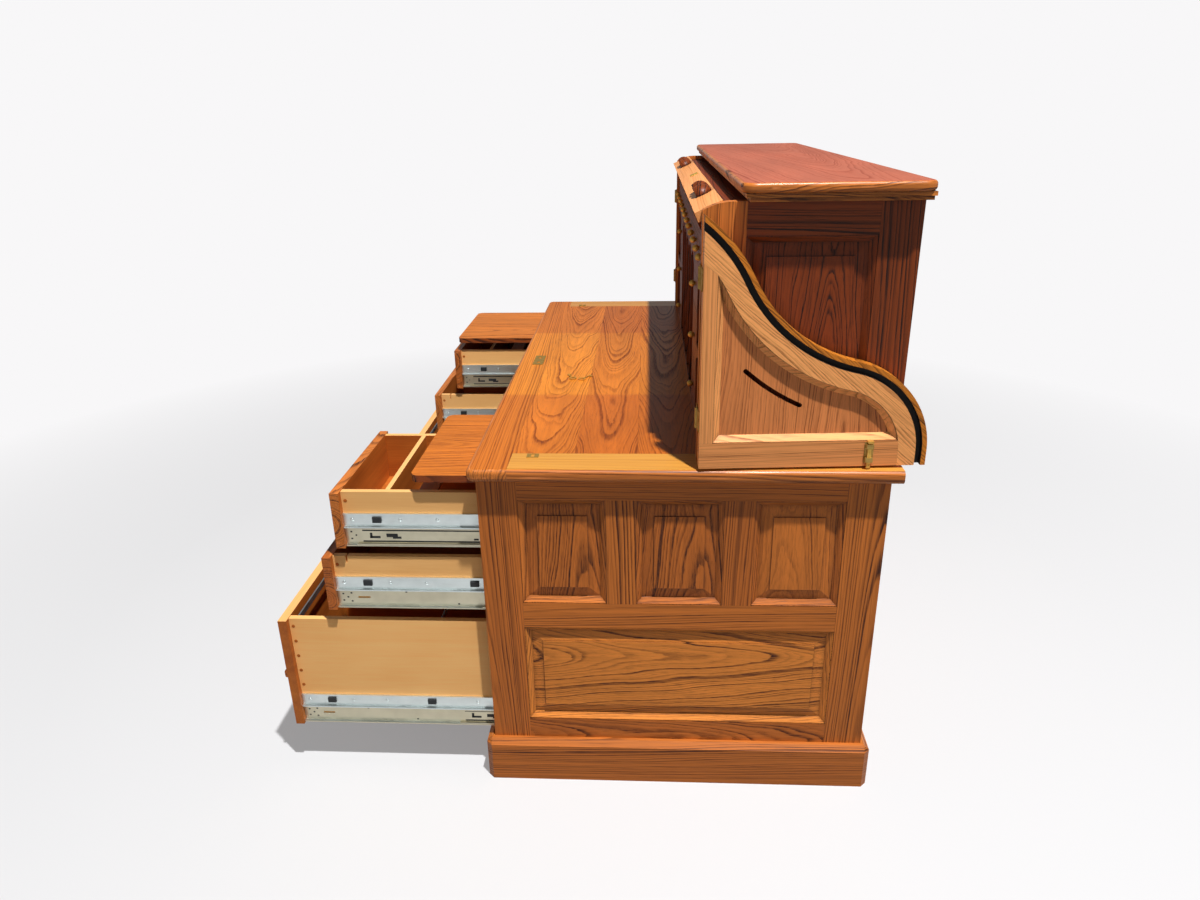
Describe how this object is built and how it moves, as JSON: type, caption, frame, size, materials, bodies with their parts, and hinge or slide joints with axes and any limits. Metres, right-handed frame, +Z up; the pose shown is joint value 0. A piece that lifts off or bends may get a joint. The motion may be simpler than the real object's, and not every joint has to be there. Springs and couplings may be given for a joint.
{
  "type": "roll top desk organizer",
  "caption": "Oak roll top desk with two drawer pedestals, pull-out writing boards, folding side wings and a fitted hutch with small drawers and pigeonholes.",
  "frame": {"origin": "on the floor, at the middle of the bounding box in the pictured pose", "axes": "+Z up, -Y towards the sitter, +X to the sitter's right; the desk is widest along X"},
  "size_m": [1.526, 1.3525, 1.285],
  "materials": {
    "desktop_oak": "satin varnished oak",
    "carcass_oak": "satin varnished oak, red brown",
    "steel": "zinc plated",
    "brass": "polished",
    "dark_oak": "satin varnished oak, red brown",
    "fitting_oak": "satin varnished oak",
    "drawer_oak": "satin varnished oak with pale maple boxes"
  },
  "bodies": {
    "desk": {"desktop": "desktop_oak", "pedestal_ends": "carcass_oak", "kneehole_sides": "carcass_oak", "desk_back": "carcass_oak", "plinth": "carcass_oak", "drawer_rails": "carcass_oak", "inner_framing": "carcass_oak", "fixed_slides": "steel", "desk_brassware": "brass", "keys": "brass", "hutch_sides": "carcass_oak", "hutch_top": "dark_oak", "hutch_back": "carcass_oak", "pigeonhole_case": "fitting_oak", "tambour_tracks": "carcass_oak", "tambour_slats": "carcass_oak", "lift_rail": "carcass_oak"},
    "right_file_drawer": {"right_file_drawer": "drawer_oak", "right_file_drawer_slides": "steel", "right_hanging_rails": "steel"},
    "right_file_slide_middles": {"right_file_slide_middles": "steel"},
    "right_middle_drawer": {"right_middle_drawer": "drawer_oak", "right_middle_drawer_slides": "steel"},
    "right_middle_slide_middles": {"right_middle_slide_middles": "steel"},
    "right_top_drawer": {"right_top_drawer": "drawer_oak", "right_top_drawer_slides": "steel"},
    "right_top_slide_middles": {"right_top_slide_middles": "steel"},
    "right_writing_board": {"right_writing_board": "carcass_oak"},
    "right_wing": {"right_wing_frame": "carcass_oak", "right_wing_panel": "carcass_oak", "right_wing_brass": "brass"},
    "right_wing_bolt": {"right_wing_bolt": "brass"},
    "left_file_drawer": {"left_file_drawer": "drawer_oak", "left_file_drawer_slides": "steel", "left_hanging_rails": "steel"},
    "left_file_slide_middles": {"left_file_slide_middles": "steel"},
    "left_middle_drawer": {"left_middle_drawer": "drawer_oak", "left_middle_drawer_slides": "steel"},
    "left_middle_slide_middles": {"left_middle_slide_middles": "steel"},
    "left_top_drawer": {"left_top_drawer": "drawer_oak", "left_top_drawer_slides": "steel"},
    "left_top_slide_middles": {"left_top_slide_middles": "steel"},
    "left_writing_board": {"left_writing_board": "carcass_oak"},
    "left_wing": {"left_wing_frame": "carcass_oak", "left_wing_panel": "carcass_oak", "left_wing_brass": "brass"},
    "left_wing_bolt": {"left_wing_bolt": "brass"},
    "centre_drawer": {"centre_drawer": "drawer_oak"},
    "row_drawer_1": {"row_drawer_1": "fitting_oak"},
    "row_drawer_2": {"row_drawer_2": "fitting_oak"},
    "row_drawer_3": {"row_drawer_3": "fitting_oak"},
    "row_drawer_4": {"row_drawer_4": "fitting_oak"},
    "row_drawer_5": {"row_drawer_5": "fitting_oak"},
    "row_drawer_6": {"row_drawer_6": "fitting_oak"},
    "left_stack_drawer_1": {"left_stack_drawer_1": "fitting_oak"},
    "left_stack_drawer_2": {"left_stack_drawer_2": "fitting_oak"},
    "left_stack_drawer_3": {"left_stack_drawer_3": "fitting_oak"},
    "right_stack_drawer_1": {"right_stack_drawer_1": "fitting_oak"},
    "right_stack_drawer_2": {"right_stack_drawer_2": "fitting_oak"},
    "right_stack_drawer_3": {"right_stack_drawer_3": "fitting_oak"}
  },
  "joints": [
    {"name": "right_file_drawer_slide", "type": "slide", "parent": "desk", "child": "right_file_drawer", "axis": [0, -1, 0], "range_m": [-0.465, 0.035]},
    {"name": "right_file_slide_middles_slide", "type": "slide", "parent": "desk", "child": "right_file_slide_middles", "axis": [0, -1, 0], "range_m": [-0.10695, 0.00805]},
    {"name": "right_middle_drawer_slide", "type": "slide", "parent": "desk", "child": "right_middle_drawer", "axis": [0, -1, 0], "range_m": [-0.345, 0.155]},
    {"name": "right_middle_slide_middles_slide", "type": "slide", "parent": "desk", "child": "right_middle_slide_middles", "axis": [0, -1, 0], "range_m": [-0.0345, 0.0155]},
    {"name": "right_top_drawer_slide", "type": "slide", "parent": "desk", "child": "right_top_drawer", "axis": [0, -1, 0], "range_m": [-0.308, 0.192]},
    {"name": "right_top_slide_middles_slide", "type": "slide", "parent": "desk", "child": "right_top_slide_middles", "axis": [0, -1, 0], "range_m": [-0.28644, 0.17856]},
    {"name": "right_writing_board_slide", "type": "slide", "parent": "desk", "child": "right_writing_board", "axis": [0, -1, 0], "range_m": [-0.137, 0.263]},
    {"name": "right_wing_hinge", "type": "hinge", "parent": "desk", "child": "right_wing", "pos_m": [0.7264, 0.24385, 0.858], "axis": [0, 0, 1], "range_deg": [-183.2, 0]},
    {"name": "right_wing_bolt_slide", "type": "slide", "parent": "right_wing", "child": "right_wing_bolt", "axis": [0, 0, 1], "range_m": [0, 0.01]},
    {"name": "left_file_drawer_slide", "type": "slide", "parent": "desk", "child": "left_file_drawer", "axis": [0, -1, 0], "range_m": [-0.441, 0.059]},
    {"name": "left_file_slide_middles_slide", "type": "slide", "parent": "desk", "child": "left_file_slide_middles", "axis": [0, -1, 0], "range_m": [-0.10143, 0.01357]},
    {"name": "left_middle_drawer_slide", "type": "slide", "parent": "desk", "child": "left_middle_drawer", "axis": [0, -1, 0], "range_m": [-0.358, 0.142]},
    {"name": "left_middle_slide_middles_slide", "type": "slide", "parent": "desk", "child": "left_middle_slide_middles", "axis": [0, -1, 0], "range_m": [-0.0358, 0.0142]},
    {"name": "left_top_drawer_slide", "type": "slide", "parent": "desk", "child": "left_top_drawer", "axis": [0, -1, 0], "range_m": [-0.281, 0.219]},
    {"name": "left_top_slide_middles_slide", "type": "slide", "parent": "desk", "child": "left_top_slide_middles", "axis": [0, -1, 0], "range_m": [-0.26133, 0.20367]},
    {"name": "left_writing_board_slide", "type": "slide", "parent": "desk", "child": "left_writing_board", "axis": [0, -1, 0], "range_m": [-0.265, 0.135]},
    {"name": "left_wing_hinge", "type": "hinge", "parent": "desk", "child": "left_wing", "pos_m": [-0.7264, 0.24385, 0.858], "axis": [0, 0, 1], "range_deg": [0, 183.2]},
    {"name": "left_wing_bolt_slide", "type": "slide", "parent": "left_wing", "child": "left_wing_bolt", "axis": [0, 0, 1], "range_m": [0, 0.01]},
    {"name": "centre_drawer_slide", "type": "slide", "parent": "desk", "child": "centre_drawer", "axis": [0, -1, 0], "range_m": [0, 0.3]},
    {"name": "row_drawer_1_slide", "type": "slide", "parent": "desk", "child": "row_drawer_1", "axis": [0, -1, 0], "range_m": [0, 0.14]},
    {"name": "row_drawer_2_slide", "type": "slide", "parent": "desk", "child": "row_drawer_2", "axis": [0, -1, 0], "range_m": [0, 0.14]},
    {"name": "row_drawer_3_slide", "type": "slide", "parent": "desk", "child": "row_drawer_3", "axis": [0, -1, 0], "range_m": [0, 0.14]},
    {"name": "row_drawer_4_slide", "type": "slide", "parent": "desk", "child": "row_drawer_4", "axis": [0, -1, 0], "range_m": [0, 0.14]},
    {"name": "row_drawer_5_slide", "type": "slide", "parent": "desk", "child": "row_drawer_5", "axis": [0, -1, 0], "range_m": [0, 0.14]},
    {"name": "row_drawer_6_slide", "type": "slide", "parent": "desk", "child": "row_drawer_6", "axis": [0, -1, 0], "range_m": [0, 0.14]},
    {"name": "left_stack_drawer_1_slide", "type": "slide", "parent": "desk", "child": "left_stack_drawer_1", "axis": [0, -1, 0], "range_m": [0, 0.14]},
    {"name": "left_stack_drawer_2_slide", "type": "slide", "parent": "desk", "child": "left_stack_drawer_2", "axis": [0, -1, 0], "range_m": [0, 0.14]},
    {"name": "left_stack_drawer_3_slide", "type": "slide", "parent": "desk", "child": "left_stack_drawer_3", "axis": [0, -1, 0], "range_m": [0, 0.14]},
    {"name": "right_stack_drawer_1_slide", "type": "slide", "parent": "desk", "child": "right_stack_drawer_1", "axis": [0, -1, 0], "range_m": [0, 0.14]},
    {"name": "right_stack_drawer_2_slide", "type": "slide", "parent": "desk", "child": "right_stack_drawer_2", "axis": [0, -1, 0], "range_m": [0, 0.14]},
    {"name": "right_stack_drawer_3_slide", "type": "slide", "parent": "desk", "child": "right_stack_drawer_3", "axis": [0, -1, 0], "range_m": [0, 0.14]}
  ],
  "couplings": [
    {"joint": "right_file_slide_middles_slide", "follows": "right_file_drawer_slide", "ratio": 0.23},
    {"joint": "right_middle_slide_middles_slide", "follows": "right_middle_drawer_slide", "ratio": 0.1},
    {"joint": "right_top_slide_middles_slide", "follows": "right_top_drawer_slide", "ratio": 0.93},
    {"joint": "left_file_slide_middles_slide", "follows": "left_file_drawer_slide", "ratio": 0.23},
    {"joint": "left_middle_slide_middles_slide", "follows": "left_middle_drawer_slide", "ratio": 0.1},
    {"joint": "left_top_slide_middles_slide", "follows": "left_top_drawer_slide", "ratio": 0.93}
  ]
}
